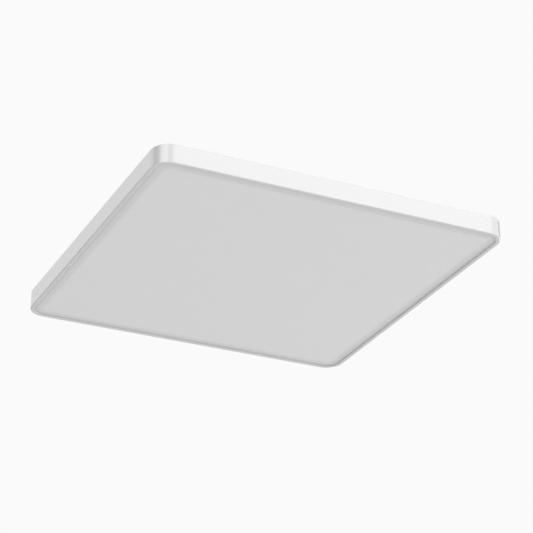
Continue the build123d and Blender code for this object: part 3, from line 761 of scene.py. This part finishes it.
def screw_set():
    """Pan-head screws with a cross recess and a thread."""
    shape = bmesh.new()
    for low, high in solid_boxes("fixing_screws"):
        head = (high.x - low.x) / 2
        seat = low.z + SCREW_HEAD_HEIGHT
        loops = [
            cross(RECESS_FLOOR_REACH, low.z + RECESS_DEPTH, ROUND_POINTS),
            cross(RECESS_REACH, low.z, ROUND_POINTS),
        ]
        for step in range(TURN_STEPS + 1):
            turn = math.pi / 2 * step / TURN_STEPS
            reach = head - SCREW_HEAD_ROUND * (1 - math.sin(turn))
            level = low.z + SCREW_HEAD_ROUND * (1 - math.cos(turn))
            loops.append(circle(reach, level, ROUND_POINTS))
        loops.append(circle(head, seat - SCREW_RIM_ROUND, ROUND_POINTS))
        loops.append(circle(head - SCREW_RIM_ROUND, seat, ROUND_POINTS))
        tip = high.z - SCREW_TIP_HEIGHT
        loops += helix(SCREW_RADIUS, THREAD_DEPTH, THREAD_PITCH, seat, tip, ROUND_POINTS)
        loops.append(circle(SCREW_TIP_RADIUS, high.z, ROUND_POINTS))
        skin(shape, moved(loops, Matrix.Translation(((low.x + high.x) / 2, (low.y + high.y) / 2, 0))))
    add_piece("screw_set", shape, "chassis", "fixing_screws")


def choke_drum():
    """Ferrite drum with a copper winding between its flanges."""
    low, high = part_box("driver_choke")
    radius = (high.x - low.x) / 2
    bottom, top = low.z + CHOKE_FLANGE, high.z - CHOKE_FLANGE
    lower = [(radius - PART_EDGE, low.z), (radius, low.z + PART_EDGE), (radius, bottom)]
    upper = [(radius, top), (radius, high.z - PART_EDGE), (radius - PART_EDGE, high.z)]
    winding = helix(CHOKE_WINDING_RADIUS, CHOKE_WIRE_DEPTH, CHOKE_WIRE, bottom, top, ROUND_POINTS)
    loops = [circle(reach, level, ROUND_POINTS) for reach, level in lower]
    loops += winding
    loops += [circle(reach, level, ROUND_POINTS) for reach, level in upper]
    shape = bmesh.new()
    bands = skin(shape, moved(loops, Matrix.Translation(((low.x + high.x) / 2, (low.y + high.y) / 2, 0))))
    first_turn = len(lower) + 1
    paint(bands[first_turn:first_turn + len(winding) - 1], 1)
    add_piece("choke_drum", shape, "chassis", "driver_choke", "winding_copper")


def capacitor_pair():
    """Capacitors in sleeves, with a crimp near the rubber seal and a vent cross in the bare end."""
    shape = bmesh.new()
    for low, high in solid_boxes("driver_capacitors"):
        radius = (high.z - low.z) / 2
        length = high.x - low.x
        seal = radius * CAPACITOR_SEAL_SHARE
        lid = radius * CAPACITOR_LID_SHARE
        vent = radius * CAPACITOR_VENT_SHARE
        crimp = radius - CAPACITOR_CRIMP_DEPTH
        stations = [
            (seal - CAPACITOR_STEP, CAPACITOR_EDGE),
            (seal, 0),
            (radius - CAPACITOR_EDGE, 0),
            (radius, CAPACITOR_EDGE),
            (radius, CAPACITOR_CRIMP_AT - CAPACITOR_CRIMP_DEPTH),
            (crimp, CAPACITOR_CRIMP_AT),
            (radius, CAPACITOR_CRIMP_AT + CAPACITOR_CRIMP_DEPTH),
            (radius, length - CAPACITOR_EDGE),
            (radius - CAPACITOR_EDGE, length),
            (lid, length),
            (lid - CAPACITOR_STEP, length - CAPACITOR_STEP),
        ]
        loops = [circle(reach, level, ROUND_POINTS) for reach, level in stations]
        loops.append(cross(vent, length - CAPACITOR_STEP, ROUND_POINTS))
        loops.append(cross(vent - CAPACITOR_STEP, length - 2 * CAPACITOR_STEP, ROUND_POINTS))
        place = Matrix.Translation((low.x, (low.y + high.y) / 2, (low.z + high.z) / 2))
        bands = skin(shape, moved(loops, place @ Matrix.Rotation(math.pi / 2, 4, "Y")))
        paint(bands[-CAPACITOR_LID_BANDS:], 1)
        paint(bands[:CAPACITOR_SEAL_BANDS], 2)
    add_piece("capacitor_pair", shape, "chassis", "driver_capacitors", "can_aluminium", "seal_rubber")


def wound_transformer():
    """Two-part ferrite core, with the taped winding and the bobbin's flanges at its ends."""
    low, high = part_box("driver_transformer")
    middle = (low + high) / 2
    half_width = (high.y - low.y) / 2
    half_height = (high.z - low.z) / 2
    core = bar(CORE_HALF_LENGTH, half_height, PART_EDGE, [
        (-half_width, PART_EDGE / 2),
        (-half_width + PART_EDGE / 2, 0),
        (-CORE_PARTING, 0),
        (0, CORE_PARTING),
        (CORE_PARTING, 0),
        (half_width - PART_EDGE / 2, 0),
        (half_width, PART_EDGE / 2),
    ])
    shape = bmesh.new()
    skin(shape, moved(core, Matrix.Translation(middle) @ Matrix.Rotation(math.pi / 2, 4, "Z")))
    bobbin_end = (high.x - low.x) / 2
    flange = bobbin_end - BOBBIN_FLANGE
    for turn in (0, math.pi):
        end = bar(BOBBIN_HALF_WIDTH, half_height - BOBBIN_DROP / 2, PART_EDGE, [
            (CORE_HALF_LENGTH, WINDING_INSET),
            (flange, WINDING_INSET),
            (flange, 0),
            (bobbin_end, 0),
        ])
        place = Matrix.Translation(middle + Vector((0, 0, BOBBIN_DROP / 2)))
        bands = skin(shape, moved(end, place @ Matrix.Rotation(turn, 4, "Z")))
        paint(bands[1:2], 1)
    add_piece("wound_transformer", shape, "chassis", "driver_transformer", "winding_tape")


def dress_node(name, node):
    """Material and softened edges for a node that stays as it is."""
    node.data.materials.clear()
    node.data.materials.append(finishes[slots[name]])
    node.data.shade_smooth()
    weld = node.modifiers.new("weld", "WELD")
    weld.merge_threshold = WELD_DISTANCE
    bevel = node.modifiers.new("soft_edges", "BEVEL")
    bevel.width = EDGE_ROUNDS.get(name, DEFAULT_EDGE)
    bevel.segments = BEVEL_SEGMENTS
    bevel.limit_method = "ANGLE"
    bevel.angle_limit = BEVEL_ANGLE
    node.modifiers.new("weighted_normals", "WEIGHTED_NORMAL")


# Stage and camera
def seen_share(tree):
    """One for rays from the camera, reflections and clear pieces, nought for light on surfaces."""
    path = tree.nodes.new("ShaderNodeLightPath")
    share = path.outputs["Is Camera Ray"]
    for ray in ("Is Glossy Ray", "Is Transmission Ray"):
        share = calculate(tree, "MAXIMUM", share, path.outputs[ray])
    return share


def studio_world():
    """White where it is seen, dimmer as light."""
    world = bpy.data.worlds.new("studio_world")
    world.use_nodes = True
    tree = world.node_tree
    background = tree.nodes["Background"]
    background.inputs["Color"].default_value = (1, 1, 1, 1)
    strength = remap(tree, seen_share(tree), AMBIENT, BACKGROUND, 0, 1)
    tree.links.new(strength, background.inputs["Strength"])
    scene.world = world


def stage_sheet(name, half_width, half_height, material):
    """Flat sheet of the stage, facing up until it is turned."""
    shape = bmesh.new()
    corners = [(-1, -1), (1, -1), (1, 1), (-1, 1)]
    shape.faces.new([shape.verts.new((x * half_width, y * half_height, 0)) for x, y in corners])
    mesh = bpy.data.meshes.new(name)
    shape.to_mesh(mesh)
    shape.free()
    mesh.materials.append(material)
    sheet = bpy.data.objects.new(name, mesh)
    scene.collection.objects.link(sheet)
    return sheet


def studio_floor():
    """Pale floor, a room's height below the ceiling."""
    material = surface("floor_paint", (0.88, 0.88, 0.88), 0.8, grain=0.02, depth=0.00002)
    tree = material.node_tree
    glow = tree.nodes.new("ShaderNodeEmission")
    glow.inputs["Color"].default_value = (BACKGROUND, BACKGROUND, BACKGROUND, 1)
    mix = tree.nodes.new("ShaderNodeMixShader")
    tree.links.new(remap(tree, seen_share(tree), 0, FLOOR_GLOW, 0, 1), mix.inputs["Fac"])
    tree.links.new(tree.nodes["Principled BSDF"].outputs["BSDF"], mix.inputs[1])
    tree.links.new(glow.outputs["Emission"], mix.inputs[2])
    tree.links.new(mix.outputs["Shader"], tree.nodes["Material Output"].inputs["Surface"])
    floor = stage_sheet("studio_floor", FLOOR_HALF, FLOOR_HALF, material)
    floor.location.z = FLOOR_LEVEL


def face_light(item, front, azimuth, elevation, distance):
    """Turn an item to the light, at degrees from -X towards -Y and up, hidden from the camera."""
    turn = math.radians(azimuth)
    lift = math.radians(elevation)
    away = Vector((-math.cos(turn) * math.cos(lift), -math.sin(turn) * math.cos(lift), math.sin(lift)))
    item.location = away * distance
    item.rotation_mode = "QUATERNION"
    item.rotation_quaternion = (-away).to_track_quat(front, "Y")
    item.visible_camera = False


def soft_box(name, azimuth, elevation, distance, width, height, radiance):
    """Rectangular lamp that faces the light's middle."""
    lamp = bpy.data.lights.new(name, "AREA")
    lamp.shape = "RECTANGLE"
    lamp.size = width
    lamp.size_y = height
    lamp.energy = radiance * math.pi * width * height
    box = bpy.data.objects.new(name, lamp)
    scene.collection.objects.link(box)
    face_light(box, "-Z", azimuth, elevation, distance)


def dark_card(name, azimuth, elevation, distance, width, height):
    """Dark card beside the light, which its walls reflect."""
    material = surface(name + "_cloth", (0.03, 0.03, 0.03), 0.9, grain=0.002, depth=0.0001)
    card = stage_sheet(name, width / 2, height / 2, material)
    face_light(card, "Z", azimuth, elevation, distance)


def photo_camera():
    """Camera at the photo's place, direction and focal length."""
    data = bpy.data.cameras.new("photo_camera")
    data.sensor_width = SENSOR_WIDTH
    data.lens = FOCAL_PIXELS / IMAGE_WIDTH * SENSOR_WIDTH
    camera = bpy.data.objects.new("photo_camera", data)
    scene.collection.objects.link(camera)
    level_right = CAMERA_FORWARD.cross(Vector((0, 0, 1))).normalized()
    level_up = level_right.cross(CAMERA_FORWARD)
    right = level_right * math.cos(CAMERA_ROLL) + level_up * math.sin(CAMERA_ROLL)
    up = level_up * math.cos(CAMERA_ROLL) - level_right * math.sin(CAMERA_ROLL)
    turn = Matrix((right, up, -CAMERA_FORWARD)).transposed()
    camera.matrix_world = Matrix.Translation(CAMERA_PLACE) @ turn.to_4x4()
    scene.camera = camera


# The light, piece by piece
finishes = make_finishes()
frame_shell()
diffuser_panel()
clip_strips()
grommet_ring()
screw_set()
choke_drum()
capacitor_pair()
wound_transformer()
for side_name, side_turn in SIDE_TURNS.items():
    catch_strip(side_name, side_turn)
for board_number in range(1, BOARD_COUNT + 1):
    lens_strip(board_number)
    light_packages(board_number)
for node_name, cad_node in frame["nodes"].items():
    if not cad_node.hide_render:
        dress_node(node_name, cad_node)

# The studio round it
studio_world()
studio_floor()
soft_box("key_box", azimuth=107, elevation=12, distance=2.6, width=2.35, height=2.6, radiance=1.5)
soft_box("left_box", azimuth=39, elevation=26, distance=2.5, width=1.5, height=0.75, radiance=2.1)
soft_box("right_box", azimuth=190, elevation=-8, distance=2.6, width=2.4, height=1.4, radiance=1.6)
soft_box("rear_box", azimuth=-66, elevation=26, distance=3.5, width=3.6, height=2.0, radiance=0.32)
dark_card("left_card", azimuth=-4, elevation=14, distance=2.0, width=1.0, height=2.4)
dark_card("right_card", azimuth=218, elevation=27, distance=1.5, width=1.7, height=0.9)
dark_card("low_card", azimuth=-62, elevation=-18, distance=1.8, width=0.7, height=0.8)
photo_camera()
scene.view_settings.view_transform = "Standard"

# Bring the scene up to date
bpy.context.view_layer.update()
